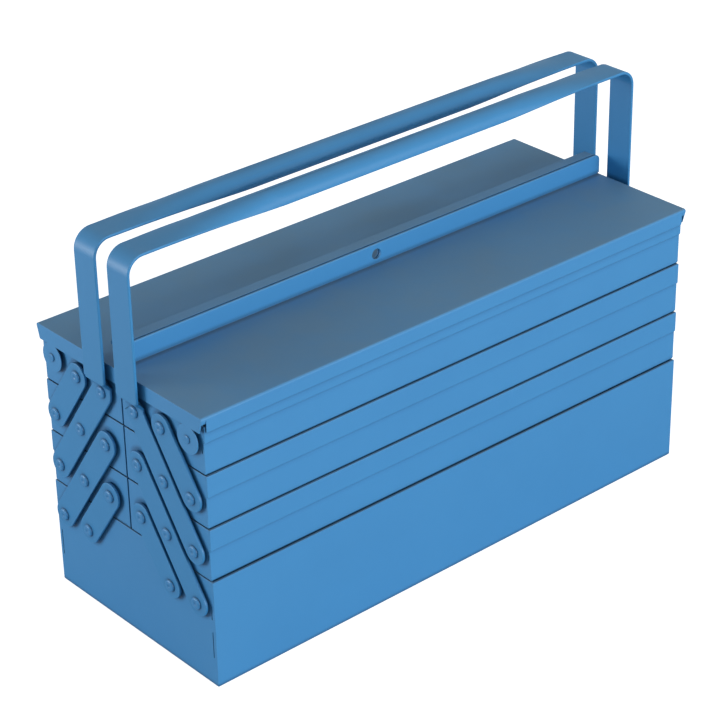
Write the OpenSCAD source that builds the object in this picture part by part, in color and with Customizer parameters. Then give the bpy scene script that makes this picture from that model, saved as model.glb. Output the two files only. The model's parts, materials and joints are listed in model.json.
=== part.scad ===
// Cantilever tool box: a folded steel base with three pairs of trays that spread on riveted arms.
// Frame: X along the box, Y across it (front at -Y), Z up, origin at the centre of the underside.
// Pieces are drawn on the rear half and the right end, and mirrored to the front and the left.

/* [Box] */
// Length over the end walls
box_l = 500; // [420:1:620]
// Width over the front and rear walls of the base
box_w = 200; // [188:1:260]
// Height of the base up to its rim
base_h = 94; // [80:1:150]
// Height of the low and middle trays
tray_h = 45.2; // [42:0.1:60]
// Height of the top tray, up to the underside of its lid
top_tray_h = 48.1; // [46:0.1:60]
// Gap in which one tray sits above the next
seat_gap = 0.3; // [0.2:0.1:0.6]
// Gap between the front and rear trays
centre_gap = 1.5; // [1:0.1:3]
// Inset of the trays from the walls of the base
tray_inset = 0.4; // [0.2:0.1:1]

/* [Sheet] */
// Thickness of the base and tray sheet
sheet = 1; // [0.8:0.1:1.5]
// Outside radius of the folds
bend_r = 2; // [1.8:0.1:3]
// Height of the hem's lower edge above the tray's underside
hem_z = 27; // [20:0.5:32]
// Depth of the folds that stiffen the inner rims
rim_fold = 8; // [4:0.5:12]
// Thickness that a flattened fold adds to a wall
hem_t = 1.2; // [1:0.1:1.6]

/* [Lids] */
// Thickness of the lid sheet
lid_sheet = 1; // [0.8:0.1:1.5]
// How far the lids reach past the end walls
lid_over = 3.6; // [3:0.1:3.7]
// Gap between the two lids
lid_gap = 0.8; // [0.6:0.1:1.6]
// Play between the lid's long skirt and the tray
lid_play = 0.6; // [0.4:0.1:1.2]
// Height of the lid's skirt
skirt_h = 13; // [10:0.5:14]
// Height of the padlock flange above the lid
flange_h = 18; // [14:0.5:24]
// Width of the lip on top of the rear flange
lip_w = 10; // [5:0.5:14]
// Depth of the lip's turned-down edge
lip_drop = 3; // [2:0.5:4]
// Radius of the flange's top corners
flange_corner = 5; // [2:0.5:8]
// Diameter of the padlock hole
padlock_d = 9; // [6:0.5:10]
// Distance of the lid's pivot from the tray's outer face
ear_in = 16; // [15:0.5:20]
// Depth of the lid's pivot below the lid's underside
ear_drop = 22.5; // [21:0.5:26]
// Radius of the lid's ears
ear_r = 12; // [10:0.5:14.5]
// Length of the notch that parts the lid's long skirt from its end plates
notch_l = 4.6; // [3:0.1:8]
// Clearance of the tray's corner inside the swinging lid
corner_play = 0.6; // [0.4:0.1:1.5]

/* [Linkage] */
// Distance of the inner pivots from the centre plane
pivot_in = 20; // [18:0.5:24]
// Step across the box from one pivot column to the next
pivot_step = 32; // [29:0.5:38]
// Height of the pivots above each tray's underside
pivot_up = 22; // [20:0.5:25]
// Width of the arms
arm_w = 22; // [16:0.5:23]
// Thickness of the arms and handles
arm_t = 2.5; // [2:0.1:3]
// Gap between the end walls and the arms
arm_gap = 1.5; // [1:0.1:2]

/* [Rivets] */
// Diameter of the rivet shanks
shank_d = 6; // [4:0.5:7]
// Diameter of the rivets' rounded heads
head_d = 10; // [8:0.5:10]
// Height of the rounded heads
head_h = 1.8; // [1.2:0.1:2]
// Share of a rounded head's height that its rounding takes
head_round = 0.9; // [0.5:0.05:0.95]
// Diameter of the dimple that the rivet tool leaves in each rounded head
dimple_d = 4.4; // [3:0.1:5]
// Depth of the dimple
dimple_h = 0.9; // [0.4:0.1:1]
// Diameter of the flat heads inside the box
tail_d = 8; // [7.5:0.5:10]
// Thickness of the flat heads inside the box
tail_h = 1.2; // [0.8:0.1:2]
// Diameter of the washers behind the arms
washer_d = 15; // [12:0.5:18]
// Diameter of the lid rivets' shanks
lid_shank_d = 4; // [3:0.5:5]
// Diameter of the lid rivets' heads
lid_head_d = 6.5; // [6:0.5:9]
// Height of the lid rivets' heads
lid_head_h = 1; // [0.6:0.1:1.4]
// Radial clearance of the shanks in the arms and ears
pivot_play = 0.06; // [0.03:0.01:0.1]
// Gap beside a moving arm or ear
side_play = 0.1; // [0.05:0.05:0.2]

/* [Handles] */
// Width of the handle strap
strap_w = 25; // [22:0.5:26]
// Gap between the end walls and the handle legs
leg_gap = 7.5; // [7:0.1:12]
// Height of the flat corners of the handles above the ground
handle_z = 337.5; // [315:0.5:380]
// Rise of the rolled grip above the flat corners
grip_rise = 6; // [2:0.5:9]
// Outside radius of the handle corners
corner_r = 15; // [10:0.5:34]
// Radius of the rolled grip
grip_r = 11; // [8:0.1:12.5]
// Half of the angle through which the grip is rolled
grip_roll = 95; // [60:1:110]
// Length of the fully rolled grip
grip_l = 224; // [160:1:360]
// Length of strap left flat beside each corner
flat_l = 4; // [3:0.5:40]
// How softly the roll starts and ends: 0 is an even twist
roll_ease = 0.4; // [0:0.1:1]
// Distance from the inner pivot to the start of the cranked foot
crank_z = 6.4; // [5.8:0.1:7]

/* [Hidden] */
$fn = 96;
// How far a cutting shape runs past what it cuts
past = 1;
half_l = box_l / 2;
half_w = box_w / 2;
tray_out = half_w - tray_inset;
tray_in = centre_gap / 2;
level = tray_h + seat_gap;

// Undersides of the trays, from the lowest pair to the top pair
tray_z = [for (i = [0 : 2]) base_h + seat_gap + i * level];
rim_z = tray_z[2] + top_tray_h;

// Heights of the pivot rows: base, low, middle and top
row_z = [for (i = [0 : 3]) tray_z[0] + pivot_up + (i - 1) * level];
// Pivot columns, from the inner one to the outer one
col_y = [for (i = [0 : 2]) pivot_in + i * pivot_step];

shank_r = shank_d / 2;
lid_shank_r = lid_shank_d / 2;

arm_x = half_l + arm_gap;
arm_out = arm_x + arm_t;
leg_x = half_l + leg_gap;
leg_out = leg_x + arm_t;

lid_z = rim_z + seat_gap;
lid_top = lid_z + lid_sheet;
lid_out = tray_out + lid_play + lid_sheet;
lid_in = lid_gap / 2;
lid_end = half_l + lid_over;
flange_z = lid_top + flange_h;
padlock_z = lid_top + flange_h / 2;
lid_pivot_y = tray_out - ear_in;
lid_pivot_z = lid_z - ear_drop;
// The top tray's outer corner stays inside this radius about the lid's pivot
corner_swing = ear_drop - corner_play;
// Height to which that radius brings the top tray's outer wall
low_rim_z = lid_pivot_z + sqrt(pow(corner_swing, 2) - pow(ear_in, 2));

crank_rise = leg_gap - arm_gap;
grip_end = leg_out - corner_r - flat_l;
// Length over which the strap rolls from flat to grip
roll_l = grip_end - grip_l / 2;
strap_mid_y = pivot_in;
// The crank is bent at 45 degrees, so its outer bends lie this much lower than its inner ones
crank_lag = arm_t * tan(22.5);
// Facets across the grip, and steps along each of its rolled ends
grip_sides = 14;
roll_steps = 12;

paint = "#4a8bc0";

// ---- placing ----

// Draws children made for the rear half on the named half
module on_side(side) {
    if (side == "front") mirror([0, 1, 0]) children();
    else children();
}

// Draws children made for the right end on the named end
module on_end(end) {
    if (end == "left") mirror([1, 0, 0]) children();
    else children();
}

module both_ends() {
    on_end("left") children();
    on_end("right") children();
}

module both_sides() {
    on_side("front") children();
    on_side("rear") children();
}

// A 2D shape in (Y, Z), extruded along X from x by t
module along_x(x, t) {
    translate([x, 0, 0]) rotate([90, 0, 90]) linear_extrude(t) children();
}

// A 2D shape in (X, Z), extruded along Y from y by t
module along_y(y, t) {
    translate([0, y + t, 0]) rotate([90, 0, 0]) linear_extrude(t) children();
}

// A pin or bore along X at point p = [Y, Z]
module pin_x(p, r, x, t) {
    translate([x, p[0], p[1]]) rotate([0, 90, 0]) cylinder(r = r, h = t);
}

// ---- sheet metal ----

// Outline of a folded pan: flat top, rounded lower corners
module pan_outline(a, b, h, r) {
    translate([a, r]) square([b - a, h - r]);
    translate([a + r, 0]) square([b - a - 2 * r, h]);
    translate([a + r, r]) circle(r);
    translate([b - r, r]) circle(r);
}

// Solid block with its four lower edges rounded, from y0 to y1 and centred on X
module pan_block(l, y0, y1, z, h, r) {
    intersection() {
        along_x(-l / 2, l) translate([0, z]) pan_outline(y0, y1, h, r);
        along_y(y0, y1 - y0) translate([0, z]) pan_outline(-l / 2, l / 2, h, r);
    }
}

// Open pan of sheet metal with folded lower edges
module pan(l, y0, y1, z, h) {
    difference() {
        pan_block(l, y0, y1, z, h, bend_r);
        pan_block(l - 2 * sheet, y0 + sheet, y1 - sheet, z + sheet, h, bend_r - sheet);
    }
}

// Flattened fold along the top of a wall: rounded above, square below
module fold_outline(y0, y1, z0, z1) {
    r = (y1 - y0) / 2;
    translate([y0, z0]) square([y1 - y0, z1 - z0 - r]);
    translate([y0 + r, z1 - r]) circle(r);
}

// Hole of radius r for a rivet's shank through both end walls
module shank_hole(p, r) {
    both_ends() pin_x(p, r, half_l - sheet - past, sheet + 2 * past);
}

module base_box() {
    fold_in = half_w - sheet - hem_t;
    color(paint) difference() {
        union() {
            pan(box_l, -half_w, half_w, 0, base_h);
            both_sides() along_x(-half_l + sheet, box_l - 2 * sheet)
                translate([fold_in, base_h - rim_fold]) square([hem_t, rim_fold]);
            both_ends() along_y(-fold_in, 2 * fold_in)
                translate([half_l - sheet - hem_t, base_h - rim_fold]) square([hem_t, rim_fold]);
        }
        both_sides() for (i = [1, 2]) shank_hole([col_y[i], row_z[0]], shank_r);
    }
}

// One tray with its underside at z, its outer wall up to z_out and its other walls up to z_rim
module tray(z, z_rim, z_out, columns, row) {
    wall_out = tray_out - hem_t;
    color(paint) difference() {
        union() {
            pan(box_l, tray_in, wall_out, z, z_rim - z);
            along_x(-half_l, box_l) {
                translate([wall_out - sheet, z + hem_z]) square([sheet, z_out - z - hem_z]);
                fold_outline(wall_out, tray_out, z + hem_z, z_out);
            }
            along_x(-half_l + sheet, box_l - 2 * sheet)
                translate([tray_in + sheet, z_rim - rim_fold]) square([hem_t, rim_fold]);
        }
        for (i = columns) shank_hole([col_y[i], row], shank_r);
    }
}

module low_tray() {
    tray(tray_z[0], tray_z[0] + tray_h, tray_z[0] + tray_h, [0, 1, 2], row_z[1]);
}

module middle_tray() {
    tray(tray_z[1], tray_z[1] + tray_h, tray_z[1] + tray_h, [0, 1, 2], row_z[2]);
}

// The top tray's outer wall is lower, and its ends are cut to an arc about the lid's pivot,
// so that the lid can swing
module top_tray() {
    difference() {
        tray(tray_z[2], rim_z, low_rim_z, [0, 1], row_z[3]);
        difference() {
            translate([-half_l - past, lid_pivot_y, lid_pivot_z])
                cube([box_l + 2 * past, ear_in + past, ear_drop + past]);
            pin_x([lid_pivot_y, lid_pivot_z], corner_swing, -half_l - 2 * past, box_l + 4 * past);
        }
        translate([-half_l - past, tray_out - hem_t - sheet, low_rim_z])
            cube([box_l + 2 * past, hem_t + sheet + past, ear_drop]);
        shank_hole([lid_pivot_y, lid_pivot_z], lid_shank_r);
    }
}

// ---- lids ----

// Outline of the lid seen from its end, in (Y, Z), with its long fold of radius r at [y1, z1]
module lid_profile(y1, z1, r, drop) {
    translate([lid_in, z1 - drop]) square([y1 - lid_in - r, drop]);
    translate([lid_in, z1 - drop]) square([y1 - lid_in, drop - r]);
    translate([y1 - r, z1 - r]) circle(r);
}

// Cross-section of the plate and the long skirt
module lid_section() {
    difference() {
        lid_profile(lid_out, lid_top, bend_r, skirt_h);
        translate([-past, 0])
            lid_profile(lid_out - lid_sheet + past, lid_z, bend_r - lid_sheet, skirt_h);
    }
}

// Skirt and ear at one end
module lid_end_outline() {
    lid_profile(lid_out, lid_top, bend_r, skirt_h);
    translate([lid_pivot_y, lid_pivot_z]) circle(ear_r);
}

// Upright flange, seen along Y, with rounded top corners
module flange_outline() {
    translate([-lid_end, lid_top - lid_sheet]) square([2 * lid_end, flange_h + lid_sheet - flange_corner]);
    translate([-lid_end + flange_corner, lid_top]) square([2 * (lid_end - flange_corner), flange_h]);
    for (s = [-1, 1]) translate([s * (lid_end - flange_corner), flange_z - flange_corner])
        circle(flange_corner);
}

// What the end plate loses beside its ear: it slants from the corner of the lid to the ear
module notch_outline() {
    ear_y = lid_pivot_y + ear_r;
    polygon([
        [lid_out, lid_top - bend_r], [lid_out + past, lid_top - bend_r],
        [lid_out + past, lid_pivot_z], [ear_y, lid_pivot_z]
    ]);
}

module lid_shell() {
    difference() {
        union() {
            along_x(-lid_end, 2 * lid_end) lid_section();
            both_ends() along_x(lid_end - lid_sheet, lid_sheet) lid_end_outline();
        }
        both_ends() along_x(lid_end - notch_l, notch_l + past) notch_outline();
    }
}

module padlock_bore() {
    translate([0, 0, padlock_z]) rotate([-90, 0, 0])
        cylinder(d = padlock_d, h = lid_in + lid_sheet + hem_t + past);
}

module lid_pivot_bores() {
    both_ends()
        pin_x([lid_pivot_y, lid_pivot_z], lid_shank_r + pivot_play, lid_end - lid_sheet - past,
            lid_sheet + 2 * past);
}

// Front lid: the flange is folded back on itself, down to just above the plate
module lid_front() {
    color(paint) difference() {
        union() {
            lid_shell();
            intersection() {
                along_y(lid_in, lid_sheet + hem_t) flange_outline();
                along_x(-lid_end, 2 * lid_end) {
                    translate([lid_in, lid_z]) square([lid_sheet, flange_h]);
                    fold_outline(lid_in, lid_in + lid_sheet + hem_t, lid_top + hem_t, flange_z);
                }
            }
        }
        padlock_bore();
        lid_pivot_bores();
    }
}

// Rear lid: a single flange with a lip turned over at the top
module lid_rear() {
    color(paint) difference() {
        union() {
            lid_shell();
            along_y(lid_in, lid_sheet) flange_outline();
            along_x(-lid_end + flange_corner, 2 * (lid_end - flange_corner)) {
                translate([lid_in, flange_z - lid_sheet]) square([lip_w, lid_sheet]);
                translate([lid_in + lip_w - lid_sheet, flange_z - lip_drop])
                    square([lid_sheet, lip_drop]);
            }
        }
        padlock_bore();
        lid_pivot_bores();
    }
}

// ---- arms ----

// Bar with rounded ends between the points p and q
module bar_outline(p, q) {
    d = q - p;
    for (c = [p, q]) translate(c) circle(arm_w / 2);
    translate(p) rotate(atan2(d[1], d[0])) translate([0, -arm_w / 2]) square([norm(d), arm_w]);
}

// Pivot points of a bar that runs inwards and up, from column c of row r over n levels
function bar_points(c, r, n) = [for (i = [0 : n]) [col_y[c - i], row_z[r + i]]];

module arm_bore(p) {
    pin_x(p, shank_r + pivot_play, arm_x - past, arm_t + 2 * past);
}

module arm(points) {
    color(paint) difference() {
        along_x(arm_x, arm_t) bar_outline(points[0], points[len(points) - 1]);
        for (p = points) arm_bore(p);
    }
}

upper_points = bar_points(2, 2, 1);
handle_points = bar_points(2, 1, 2);
main_points = bar_points(2, 0, 2);
lower_points = bar_points(1, 0, 1);

// ---- handles ----

// Leg, crank and corner of the strap, seen along Y, up to where the grip starts
module strap_outline() {
    z0 = row_z[3];
    polygon([
        [arm_x, z0], [arm_out, z0],
        [arm_out, z0 + crank_z - crank_lag], [leg_out, z0 + crank_z - crank_lag + crank_rise],
        [leg_out, handle_z - corner_r], [leg_x, handle_z - corner_r],
        [leg_x, z0 + crank_z + crank_rise], [arm_x, z0 + crank_z]
    ]);
    intersection() {
        difference() {
            translate([leg_out - corner_r, handle_z - corner_r]) circle(corner_r);
            translate([leg_out - corner_r, handle_z - corner_r]) circle(corner_r - arm_t);
        }
        translate([leg_out - corner_r, handle_z - corner_r]) square(corner_r + past);
    }
    translate([grip_end, handle_z - arm_t]) square([flat_l, arm_t]);
}

// How far the strap is rolled at x: 0 is flat and 1 is the full grip
function roll(x) =
    let (t = min(1, max(0, (grip_end - abs(x)) / roll_l)))
    t + roll_ease * (t * t * (3 - 2 * t) - t);

// A place across the strap's section: j counts from front to rear, k is 0 outside and 1 inside
function flat_point(x, j, k) = [x, strap_mid_y + strap_w * (j / grip_sides - 0.5), handle_z - k * arm_t];

function rolled_point(x, j, k) =
    let (
        s = roll(x),
        a = grip_roll * s,
        full_w = 2 * (grip_r - arm_t / 2) * grip_roll * PI / 180,
        w = strap_w + (full_w - strap_w) * s,
        r = w / 2 / (a * PI / 180),
        crown = handle_z - arm_t / 2 + grip_rise * s * (2 - s),
        b = a * (2 * j / grip_sides - 1),
        q = r + arm_t * (0.5 - k)
    )
    [x, strap_mid_y + q * sin(b), crown - r + q * cos(b)];

// One ring of the strap at x, along its outside and back along its inside
function grip_ring(x) = [for (k = [0 : 1]) for (i = [0 : grip_sides])
    let (j = k == 0 ? i : grip_sides - i)
    roll(x) > 0 ? rolled_point(x, j, k) : flat_point(x, j, k)];

// The strap rolled into a half-round grip, lofted through rings. Its flat ends reach into the
// flat strap beside the corners.
module grip() {
    xs = concat(
        [-grip_end - past],
        [for (i = [0 : roll_steps]) -grip_end + i * roll_l / roll_steps],
        [for (i = [roll_steps : -1 : 0]) grip_end - i * roll_l / roll_steps],
        [grip_end + past]
    );
    n = 2 * (grip_sides + 1);
    m = len(xs);
    points = [for (x = xs) each grip_ring(x)];
    walls = [for (i = [0 : m - 2]) for (j = [0 : n - 1])
        each [
            [i * n + j, i * n + (j + 1) % n, (i + 1) * n + (j + 1) % n],
            [i * n + j, (i + 1) * n + (j + 1) % n, (i + 1) * n + j]
        ]];
    caps = [for (j = [0 : grip_sides - 1]) each [
        [j, n - 1 - j, n - 2 - j],
        [j, n - 2 - j, j + 1],
        [(m - 1) * n + j, (m - 1) * n + n - 2 - j, (m - 1) * n + n - 1 - j],
        [(m - 1) * n + j, (m - 1) * n + j + 1, (m - 1) * n + n - 2 - j]
    ]];
    polyhedron(points, concat(walls, caps), convexity = 6);
}

// Grip, corners and legs of one strap, cranked in to the arm that carries the top tray
module handle() {
    foot_z = row_z[3] + crank_z + crank_rise;
    color(paint) {
        difference() {
            both_ends() {
                intersection() {
                    along_y(strap_mid_y - strap_w / 2, strap_w) strap_outline();
                    union() {
                        translate([0, strap_mid_y - strap_w / 2, foot_z])
                            cube([leg_out, strap_w, handle_z]);
                        translate([0, strap_mid_y - arm_w / 2, 0]) cube([leg_out, arm_w, foot_z]);
                    }
                }
                along_x(arm_x, arm_t) bar_outline(handle_points[0], handle_points[2]);
            }
            both_ends() for (p = handle_points) arm_bore(p);
        }
        grip();
    }
}

// ---- rivets and washers ----

// Half of a rivet's section, about its own axis: flat head, shank of radius r, and a rounded
// head of radius top_r and height h
module rivet_section(l, r, top_r, h) {
    edge_r = h * head_round;
    square([tail_d / 2, tail_h]);
    square([r, l]);
    translate([0, l]) {
        square([top_r - edge_r, h]);
        square([top_r, h - edge_r]);
        intersection() {
            translate([top_r - edge_r, h - edge_r]) circle(edge_r);
            square([top_r, h]);
        }
    }
}

// Half of the dimple's section: a cone with its point at [0, y - dimple_h]
module dimple_section(y) {
    polygon([[0, y - dimple_h], [dimple_d / 2, y], [dimple_d / 2, y + past], [0, y + past]]);
}

// Rivet along X at p, its head just outside the face at x_out
module rivet(p, x_out, r, top_r, h) {
    x_in = half_l - sheet - tail_h;
    l = x_out + side_play - x_in;
    translate([x_in, p[0], p[1]]) rotate([0, 90, 0]) rotate_extrude() difference() {
        rivet_section(l, r, top_r, h);
        if (top_r > dimple_d) dimple_section(l + h);
    }
}

module rivets(columns, row) {
    color(paint) both_ends() for (i = columns)
        rivet([col_y[i], row_z[row]], arm_out, shank_r, head_d / 2, head_h);
}

// Washer of diameter d on a shank of radius r, between the end wall and what turns at x_out
module washer(p, d, r, x_out) {
    difference() {
        pin_x(p, d / 2, half_l, x_out - side_play - half_l);
        pin_x(p, r, half_l - past, x_out - half_l + 2 * past);
    }
}

module washers(columns, row) {
    color(paint) both_ends() for (i = columns)
        washer([col_y[i], row_z[row]], washer_d, shank_r, arm_x);
}

module lid_rivets() {
    color(paint) both_ends()
        rivet([lid_pivot_y, lid_pivot_z], lid_end, lid_shank_r, lid_head_d / 2, lid_head_h);
}

module lid_spacers() {
    color(paint) both_ends()
        washer([lid_pivot_y, lid_pivot_z], lid_head_d, lid_shank_r, lid_end - lid_sheet);
}

base_box();
on_side("front") low_tray();  // low_tray_front
on_side("rear") low_tray();  // low_tray_rear
on_side("front") middle_tray();  // middle_tray_front
on_side("rear") middle_tray();  // middle_tray_rear
on_side("front") top_tray();  // top_tray_front
on_side("rear") top_tray();  // top_tray_rear
on_side("front") lid_front();
on_side("rear") lid_rear();
on_side("front") handle();  // handle_front
on_side("rear") handle();  // handle_rear
for (side = ["front", "rear"]) for (end = ["left", "right"]) {
    on_side(side) on_end(end) arm(upper_points);
    on_side(side) on_end(end) arm(main_points);
    on_side(side) on_end(end) arm(lower_points);
}
both_sides() rivets([1, 2], 0);  // base_rivets
both_sides() washers([1, 2], 0);  // base_washers
for (side = ["front", "rear"]) {
    on_side(side) rivets([0, 1, 2], 1);
    on_side(side) rivets([0, 1, 2], 2);
    on_side(side) rivets([0, 1], 3);
    on_side(side) lid_rivets();
    on_side(side) washers([0, 1, 2], 1);
    on_side(side) washers([0, 1, 2], 2);
    on_side(side) washers([0, 1], 3);
    on_side(side) lid_spacers();
}
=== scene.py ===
# Looks of the cantilever tool box: its powder-coated sheet metal, the studio and the camera.
# Everything is in metres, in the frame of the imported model.
import json
import math

import bpy
from mathutils import Matrix, Vector


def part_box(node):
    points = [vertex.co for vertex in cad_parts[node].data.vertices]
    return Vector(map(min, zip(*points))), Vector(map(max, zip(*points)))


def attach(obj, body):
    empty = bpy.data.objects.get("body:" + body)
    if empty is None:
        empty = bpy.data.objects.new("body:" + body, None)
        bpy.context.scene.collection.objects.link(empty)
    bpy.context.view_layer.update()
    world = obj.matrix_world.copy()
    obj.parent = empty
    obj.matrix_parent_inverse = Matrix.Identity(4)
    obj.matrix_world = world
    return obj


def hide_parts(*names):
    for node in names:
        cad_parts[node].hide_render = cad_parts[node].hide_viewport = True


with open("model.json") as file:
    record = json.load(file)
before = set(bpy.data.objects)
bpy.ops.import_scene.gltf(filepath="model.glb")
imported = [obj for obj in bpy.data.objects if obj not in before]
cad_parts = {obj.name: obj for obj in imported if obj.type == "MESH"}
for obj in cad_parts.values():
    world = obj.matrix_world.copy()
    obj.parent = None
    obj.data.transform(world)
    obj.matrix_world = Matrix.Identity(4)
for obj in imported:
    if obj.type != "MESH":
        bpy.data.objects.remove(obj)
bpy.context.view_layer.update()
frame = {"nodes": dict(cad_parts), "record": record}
mm = 0.001
sides = ("front", "rear")
ends = ("left", "right")
levels = ("low", "middle", "top")
armKinds = ("lower", "main", "upper")
bodies = frame["record"]["behaviour"]["bodies"]
bodyOf = {node: body for body, nodes in bodies.items() for node in nodes}


def linear(hexColour):
    values = [int(hexColour[i:i + 2], 16) / 255 for i in (1, 3, 5)]
    return [v / 12.92 if v <= 0.04045 else ((v + 0.055) / 1.055) ** 2.4 for v in values] + [1.0]


# Adds a node with its settings, and links or sets its inputs
def addNode(tree, kind, inputs=None, **settings):
    node = tree.nodes.new(kind)
    for name, value in settings.items():
        setattr(node, name, value)
    for name, value in (inputs or {}).items():
        if isinstance(value, bpy.types.NodeSocket):
            tree.links.new(value, node.inputs[name])
        else:
            node.inputs[name].default_value = value
    return node


def emptyMaterial(name):
    material = bpy.data.materials.new(name)
    material.use_nodes = True
    material.node_tree.nodes.clear()
    return material, material.node_tree


def selectOnly(piece):
    if bpy.context.object and bpy.context.object.mode != "OBJECT":
        bpy.ops.object.mode_set(mode="OBJECT")
    bpy.ops.object.select_all(action="DESELECT")
    piece.select_set(True)
    bpy.context.view_layer.objects.active = piece


# Polyester powder coat, sprayed and baked on folded steel sheet. It levels into an even satin blue
# with a faint orange peel, a little cloudy where the coat is thicker. It is paler on sharp edges,
# where it pulls thin and where a painted highlight lies on the rims, and it is darkened with painted
# shade where one piece meets another. Faces that look up carry a patchy pale film of dust and a
# painted sheen that greys them.
sheetPaint = {
    "name": "powderCoatOnSheet",
    "colour": "#3C88C0", "cloudColour": "#3580B8", "edgeColour": "#5FA6D3", "paintedShadeColour": "#184D78",
    "ior": 1.5, "roughness": 0.5, "roughnessSpread": 0.06,
    "cloudSize": 90 * mm,  # how far apart the thicker places of the coat are
    "peelSize": 2.4 * mm, "peelDepth": 0.014 * mm,  # orange peel waves a little over 2 mm apart
    "edgeWidth": 0.9 * mm, "edgeShare": 0.5,
    "edgeTurn": (0.995, 0.8),  # cosine of the turn at which an edge starts to pale, and is palest
    "paintedShadeReach": 5 * mm, "paintedShadeShare": 0.62,
    "paintedShadeOpen": (1.0, 0.75),  # share of open sky at which the painted shade in a fold starts, and is darkest
    "dustAndSheenColour": "#8B978E", "dustAndSheenSize": 75 * mm, "dustAndSheenShare": 0.3, "dustRoughness": 0.2,
    "dustAndSheenFacing": (0.6, 1.0),  # how far a face looks up where the dust and painted sheen start, and are full
    "dustAndSheenNoise": (0.35, 0.65), "dustAndSheenPatches": (0.7, 1.25),  # the noise, and the thin and thick patches
}
# The same coat on bar that was cut and drilled: rounder edges, finer clouds, and less dust and painted
# sheen, as hands wipe the dust off
barPaint = dict(
    sheetPaint, name="powderCoatOnFlatBar", colour="#3484BC", cloudColour="#2F7EB5", roughness=0.45,
    cloudSize=40 * mm, peelSize=3 * mm, edgeWidth=1.2 * mm, dustAndSheenShare=0.1)
# On the rivets the coat is a touch darker, and painted shade darkens it round the heads and in their
# dimples over a shorter reach
rivetPaint = dict(
    sheetPaint, name="powderCoatOnRivets", colour="#3682BA", roughness=0.38,
    cloudSize=12 * mm, peelSize=2 * mm, edgeWidth=0.6 * mm, paintedShadeReach=3 * mm)


def makePaint(look):
    material, tree = emptyMaterial(look["name"])
    place = addNode(tree, "ShaderNodeTexCoord")
    clouds = addNode(tree, "ShaderNodeTexNoise", {
        "Vector": place.outputs["Object"], "Scale": 1 / look["cloudSize"],
        "Detail": 4.0, "Roughness": 0.55})
    peel = addNode(tree, "ShaderNodeTexNoise", {
        "Vector": place.outputs["Object"], "Scale": 1 / look["peelSize"], "Detail": 2.0})

    # An edge is where the normal of a rounded surface leaves the true one
    surface = addNode(tree, "ShaderNodeNewGeometry")
    rounded = addNode(tree, "ShaderNodeBevel", {"Radius": look["edgeWidth"]}, samples=6)
    along = addNode(tree, "ShaderNodeVectorMath", {
        0: rounded.outputs[0], 1: surface.outputs["True Normal"]}, operation="DOT_PRODUCT")
    edge = addNode(tree, "ShaderNodeMapRange", {
        "Value": along.outputs["Value"], "To Max": look["edgeShare"],
        "From Min": look["edgeTurn"][0], "From Max": look["edgeTurn"][1]})
    # Paler edges: partly the coat worn thin, partly a painted highlight on the rounded rims
    wornAndHighlit = addNode(tree, "ShaderNodeMath", {
        0: edge.outputs[0], 1: clouds.outputs[0]}, operation="MULTIPLY")

    # A fold is where other faces stand close by, and there the coat is darkened with painted shade
    shade = addNode(tree, "ShaderNodeAmbientOcclusion", {"Distance": look["paintedShadeReach"]}, samples=8)
    paintedShadeMask = addNode(tree, "ShaderNodeMapRange", {
        "Value": shade.outputs["AO"], "To Max": look["paintedShadeShare"],
        "From Min": look["paintedShadeOpen"][0], "From Max": look["paintedShadeOpen"][1]})

    # Dust and a painted sheen lie on faces that look up, in thin and thick patches; the sheen greys the
    # tops as a reflection would
    facing = addNode(tree, "ShaderNodeSeparateXYZ", {0: place.outputs["Normal"]})
    level = addNode(tree, "ShaderNodeMapRange", {
        "Value": facing.outputs["Z"], "To Max": look["dustAndSheenShare"],
        "From Min": look["dustAndSheenFacing"][0], "From Max": look["dustAndSheenFacing"][1]})
    patches = addNode(tree, "ShaderNodeTexNoise", {
        "Vector": place.outputs["Object"], "Scale": 1 / look["dustAndSheenSize"],
        "Detail": 6.0, "Roughness": 0.65})
    patchy = addNode(tree, "ShaderNodeMapRange", {
        "Value": patches.outputs[0],
        "From Min": look["dustAndSheenNoise"][0], "From Max": look["dustAndSheenNoise"][1],
        "To Min": look["dustAndSheenPatches"][0], "To Max": look["dustAndSheenPatches"][1]})
    dustAndSheen = addNode(tree, "ShaderNodeMath", {
        0: level.outputs[0], 1: patchy.outputs[0]}, operation="MULTIPLY")

    # The coat's colour, from the clouds through the pale edges (partly painted highlight) and the
    # painted shade in folds, up to the dust and painted sheen
    cloudy = addNode(tree, "ShaderNodeMixRGB", {
        0: clouds.outputs[0], 1: linear(look["colour"]), 2: linear(look["cloudColour"])})
    edged = addNode(tree, "ShaderNodeMixRGB", {
        0: wornAndHighlit.outputs[0], 1: cloudy.outputs[0], 2: linear(look["edgeColour"])})
    withPaintedShade = addNode(tree, "ShaderNodeMixRGB", {
        0: paintedShadeMask.outputs[0], 1: edged.outputs[0], 2: linear(look["paintedShadeColour"])})
    withDustAndSheen = addNode(tree, "ShaderNodeMixRGB", {
        0: dustAndSheen.outputs[0], 1: withPaintedShade.outputs[0], 2: linear(look["dustAndSheenColour"])})
    gloss = addNode(tree, "ShaderNodeMapRange", {
        "Value": clouds.outputs[0], "To Min": look["roughness"] - look["roughnessSpread"],
        "To Max": look["roughness"] + look["roughnessSpread"]})
    # Dust takes the gloss off
    matter = addNode(tree, "ShaderNodeMath", {
        0: dustAndSheen.outputs[0], 1: look["dustRoughness"] / look["dustAndSheenShare"], 2: gloss.outputs[0]},
        operation="MULTIPLY_ADD")
    bump = addNode(tree, "ShaderNodeBump", {
        "Height": peel.outputs[0], "Distance": look["peelDepth"], "Strength": 1.0})
    paint = addNode(tree, "ShaderNodeBsdfPrincipled", {
        "Base Color": withDustAndSheen.outputs[0], "Roughness": matter.outputs[0], "IOR": look["ior"],
        "Normal": bump.outputs[0]})
    addNode(tree, "ShaderNodeOutputMaterial", {"Surface": paint.outputs[0]})
    return material


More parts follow.
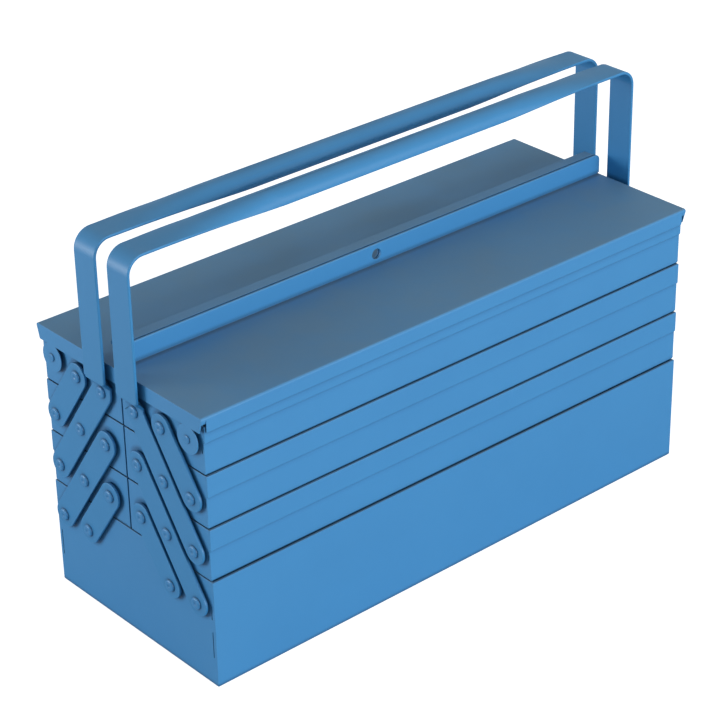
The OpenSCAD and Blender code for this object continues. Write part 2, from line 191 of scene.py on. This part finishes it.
paints = {look["name"]: makePaint(look) for look in (sheetPaint, barPaint, rivetPaint)}
print("paint:", len(paints), "coats")


# What holds for every piece's mesh. Each kind of piece has its own "edge", the radius of its rounded
# edges, "steps", the faces across that radius, and "weld", how near corners are to be merged.
shaping = {
    "flatAngle": math.radians(1),  # triangles that lie this flat are merged into one face
    "sharpAngle": math.radians(40),  # edges sharper than this are rounded, and stay crisp in shading
    "sameHeight": 0.1 * mm,  # how far an edge may lie from the height that is asked for
    "hemSteps": 5,  # faces across the round of a hem
}


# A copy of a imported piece, its triangles merged to whole faces
def copyPiece(nodeName, weld):
    piece = bpy.data.objects.new("painted_" + nodeName, frame["nodes"][nodeName].data.copy())
    bpy.context.scene.collection.objects.link(piece)
    selectOnly(piece)
    bpy.ops.object.mode_set(mode="EDIT")
    bpy.ops.mesh.select_all(action="SELECT")
    bpy.ops.mesh.remove_doubles(threshold=weld)
    bpy.ops.mesh.dissolve_limited(angle_limit=shaping["flatAngle"])
    bpy.ops.object.mode_set(mode="OBJECT")
    return piece


def roundEdges(piece, look):
    selectOnly(piece)
    rounding = piece.modifiers.new("rounding", "BEVEL")
    rounding.width = look["edge"]
    rounding.segments = look["steps"]
    rounding.limit_method = "ANGLE"
    rounding.angle_limit = shaping["sharpAngle"]
    rounding.use_clamp_overlap = False
    bpy.ops.object.modifier_apply(modifier=rounding.name)


# Rounds the outer lower edge of a long hem or skirt, at height z
def roundHem(piece, z, width):
    near = shaping["sameHeight"]
    outer = max(abs(vertex.co.y) for vertex in piece.data.vertices)
    selectOnly(piece)
    bpy.context.tool_settings.mesh_select_mode = (False, True, False)
    bpy.ops.object.mode_set(mode="EDIT")
    bpy.ops.mesh.select_all(action="DESELECT")
    bpy.ops.object.mode_set(mode="OBJECT")
    for line in piece.data.edges:
        points = [piece.data.vertices[index].co for index in line.vertices]
        line.select = all(abs(p.z - z) < near and abs(p.y) > outer - near for p in points)
    bpy.ops.object.mode_set(mode="EDIT")
    bpy.ops.mesh.bevel(offset=width, segments=shaping["hemSteps"], affect="EDGES")
    bpy.ops.object.mode_set(mode="OBJECT")


def finishPiece(piece, nodeName, look):
    selectOnly(piece)
    bpy.ops.object.shade_smooth_by_angle(angle=shaping["sharpAngle"])
    even = piece.modifiers.new("evenShading", "WEIGHTED_NORMAL")
    even.keep_sharp = True
    bpy.ops.object.modifier_apply(modifier=even.name)
    for thing in (piece, frame["nodes"][nodeName]):
        thing.data.materials.clear()
        thing.data.materials.append(paints[look["paint"]])
    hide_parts(nodeName)
    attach(piece, bodyOf[nodeName])


def dressPiece(nodeName, look):
    piece = copyPiece(nodeName, look["weld"])
    roundEdges(piece, look)
    finishPiece(piece, nodeName, look)


# Folded pans. The trays' hems roll under along their lower edges. Short open seams are left in each
# end wall, beside the corner that its tab is folded round.
pans = {
    "paint": "powderCoatOnSheet", "edge": 0.3 * mm, "steps": 2, "weld": 0.002 * mm,
    "hemHeight": 27 * mm, "hemRound": 1.05 * mm,  # the hem's lower edge, above the tray's underside
    "seamWidth": 0.9 * mm, "seamDepth": 3 * mm, "seamInset": 3.4 * mm,
    "traySeam": (17.5 * mm, 26 * mm),  # from and to, above the pan's underside
    "baseSeams": ((26 * mm, 49 * mm), (60 * mm, 72 * mm)),
    "outerWall": 50 * mm,  # a wall this far from the middle is an outer one
}


# Saws one seam of a pan, in the end wall at (x, y)
def sawSeam(piece, x, y, low, high):
    bpy.ops.object.select_all(action="DESELECT")
    bpy.ops.mesh.primitive_cube_add(size=1, location=(x, y, (low + high) / 2))
    saw = bpy.context.object
    saw.scale = (pans["seamDepth"], pans["seamWidth"], high - low)
    bpy.ops.object.transform_apply(location=True, rotation=False, scale=True)
    selectOnly(piece)
    cut = piece.modifiers.new("seam", "BOOLEAN")
    cut.operation = "DIFFERENCE"
    cut.solver = "EXACT"
    cut.object = saw
    bpy.ops.object.modifier_apply(modifier=cut.name)
    bpy.data.objects.remove(saw)


def dressPan(nodeName, seams):
    low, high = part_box(nodeName)
    piece = copyPiece(nodeName, pans["weld"])
    roundHem(piece, low[2] + pans["hemHeight"], pans["hemRound"])
    roundEdges(piece, pans)
    outer = [y for y in (low[1], high[1]) if abs(y) > pans["outerWall"]]
    for x in (low[0], high[0]):
        for y in outer:
            inner = y - math.copysign(pans["seamInset"], y)
            for start, stop in seams:
                sawSeam(piece, x, inner, low[2] + start, low[2] + stop)
    finishPiece(piece, nodeName, pans)


dressPan("base_box", pans["baseSeams"])
for side in sides:
    for level in levels:
        dressPan(f"{level}_tray_{side}", (pans["traySeam"],))
print("pans:", 1 + len(sides) * len(levels))


# Folded lids with their padlock flanges
lids = {
    "paint": "powderCoatOnSheet", "edge": 0.3 * mm, "steps": 2, "weld": 0.002 * mm,
    "skirtHeight": 221.7 * mm, "skirtRound": 0.8 * mm,  # the skirt's lower edge, above the ground
}

for side in sides:
    piece = copyPiece(f"lid_{side}", lids["weld"])
    roundHem(piece, lids["skirtHeight"], lids["skirtRound"])
    roundEdges(piece, lids)
    finishPiece(piece, f"lid_{side}", lids)
print("lids:", len(sides))


# Handles of flat bar, with edges that were rolled round before the grip was pressed
handles = {"paint": "powderCoatOnFlatBar", "edge": 0.8 * mm, "steps": 3, "weld": 0.02 * mm}

for side in sides:
    dressPiece(f"handle_{side}", handles)
print("handles:", len(sides))


# Flat arms, punched and tumbled
arms = {"paint": "powderCoatOnFlatBar", "edge": 0.6 * mm, "steps": 3, "weld": 0.002 * mm}

for kind in armKinds:
    for side in sides:
        for end in ends:
            dressPiece(f"{kind}_arm_{side}_{end}", arms)
print("arms:", len(armKinds) * len(sides) * len(ends))


# Rivets, and the washers behind the arms
rivets = {
    "paint": "powderCoatOnRivets", "edge": 0.15 * mm, "steps": 2, "weld": 0.002 * mm,
    "kinds": ("rivets", "washers", "spacers"),
}

smallParts = [name for name in sorted(frame["nodes"]) if any(kind in name for kind in rivets["kinds"])]
for name in smallParts:
    dressPiece(name, rivets)
print("rivets and washers:", len(smallParts), "groups")


# A pale floor in an even white world, which shines brighter in the paint's gloss than it lights
studio = {
    "floorSize": 14.0, "floorDrop": 0.1 * mm, "floorColour": "#D8D8D8", "floorGlow": 0.85,
    "white": "#FFFFFF", "worldColour": "#F5FFFB", "worldLight": 0.34, "worldShine": 1.25,
}


# Pale floor that reaches white for the camera and keeps the shadow
def makeFloor():
    bpy.ops.object.select_all(action="DESELECT")
    bpy.ops.mesh.primitive_plane_add(size=studio["floorSize"], location=(0, 0, -studio["floorDrop"]))
    floor = bpy.context.object
    floor.name = "studioFloor"
    material, tree = emptyMaterial("paintedStudioFloor")
    path = addNode(tree, "ShaderNodeLightPath")
    matt = addNode(tree, "ShaderNodeBsdfDiffuse", {"Color": linear(studio["floorColour"])})
    glow = addNode(tree, "ShaderNodeEmission", {"Strength": studio["floorGlow"]})
    both = addNode(tree, "ShaderNodeAddShader", {0: matt.outputs[0], 1: glow.outputs[0]})
    shown = addNode(tree, "ShaderNodeMixShader", {
        0: path.outputs["Is Camera Ray"], 1: matt.outputs[0], 2: both.outputs[0]})
    addNode(tree, "ShaderNodeOutputMaterial", {"Surface": shown.outputs[0]})
    floor.data.materials.append(material)


def makeWorld():
    world = bpy.data.worlds.new("paleStudio")
    world.use_nodes = True
    bpy.context.scene.world = world
    tree = world.node_tree
    tree.nodes.clear()
    path = addNode(tree, "ShaderNodeLightPath")
    light = addNode(tree, "ShaderNodeBackground", {
        "Color": linear(studio["white"]), "Strength": studio["worldLight"]})
    shine = addNode(tree, "ShaderNodeBackground", {
        "Color": linear(studio["worldColour"]), "Strength": studio["worldShine"]})
    white = addNode(tree, "ShaderNodeBackground", {"Color": linear(studio["white"]), "Strength": 1.0})
    mirrored = addNode(tree, "ShaderNodeMixShader", {
        0: path.outputs["Is Glossy Ray"], 1: light.outputs[0], 2: shine.outputs[0]})
    seen = addNode(tree, "ShaderNodeMixShader", {
        0: path.outputs["Is Camera Ray"], 1: mirrored.outputs[0], 2: white.outputs[0]})
    addNode(tree, "ShaderNodeOutputWorld", {"Surface": seen.outputs[0]})


# Two soft boxes, low enough that the upright faces are lit and the lids stay darker
lampAim = Vector((0, 0, 0.17))  # half the height of the box and its handles
lamps = [
    {"name": "frontSoftBox", "place": (0.3, -3.4, 0.95), "size": (2.6, 1.0), "power": 94},
    {"name": "leftSoftBox", "place": (-2.0, 1.2, 0.4), "size": (0.8, 0.6), "power": 24.5},
]


def makeLamp(lamp):
    data = bpy.data.lights.new(lamp["name"], "AREA")
    data.shape = "RECTANGLE"
    data.size, data.size_y = lamp["size"]
    data.energy = lamp["power"]
    holder = bpy.data.objects.new(lamp["name"], data)
    bpy.context.scene.collection.objects.link(holder)
    holder.location = lamp["place"]
    holder.rotation_euler = (lampAim - Vector(lamp["place"])).to_track_quat("-Z", "Y").to_euler()


makeFloor()
makeWorld()
for lamp in lamps:
    makeLamp(lamp)
print("studio:", len(lamps), "lamps")


# Angles in degrees, lens and sensor in millimetres
cameraSet = {
    "place": (-1.1218, -1.2775, 1.0765), "azimuth": -40.85, "elevation": 28.65, "roll": -1.10,
    "lens": 119.78, "sensor": 36.0, "farthest": 30.0,
}


def makeCamera():
    angles = (cameraSet[name] for name in ("azimuth", "elevation", "roll"))
    azimuth, elevation, roll = (math.radians(angle) for angle in angles)
    back = Vector((math.sin(azimuth) * math.cos(elevation),
                   -math.cos(azimuth) * math.cos(elevation), math.sin(elevation)))
    level = Vector((math.cos(azimuth), math.sin(azimuth), 0))
    upright = back.cross(level)
    across = math.cos(roll) * level + math.sin(roll) * upright
    up = -math.sin(roll) * level + math.cos(roll) * upright
    data = bpy.data.cameras.new("studioCamera")
    data.lens = cameraSet["lens"]
    data.sensor_width = cameraSet["sensor"]
    data.clip_end = cameraSet["farthest"]
    camera = bpy.data.objects.new("studioCamera", data)
    bpy.context.scene.collection.objects.link(camera)
    camera.matrix_world = Matrix((across, up, back)).transposed().to_4x4()
    camera.location = cameraSet["place"]
    bpy.context.scene.camera = camera


makeCamera()
bpy.context.scene.view_settings.view_transform = "Standard"
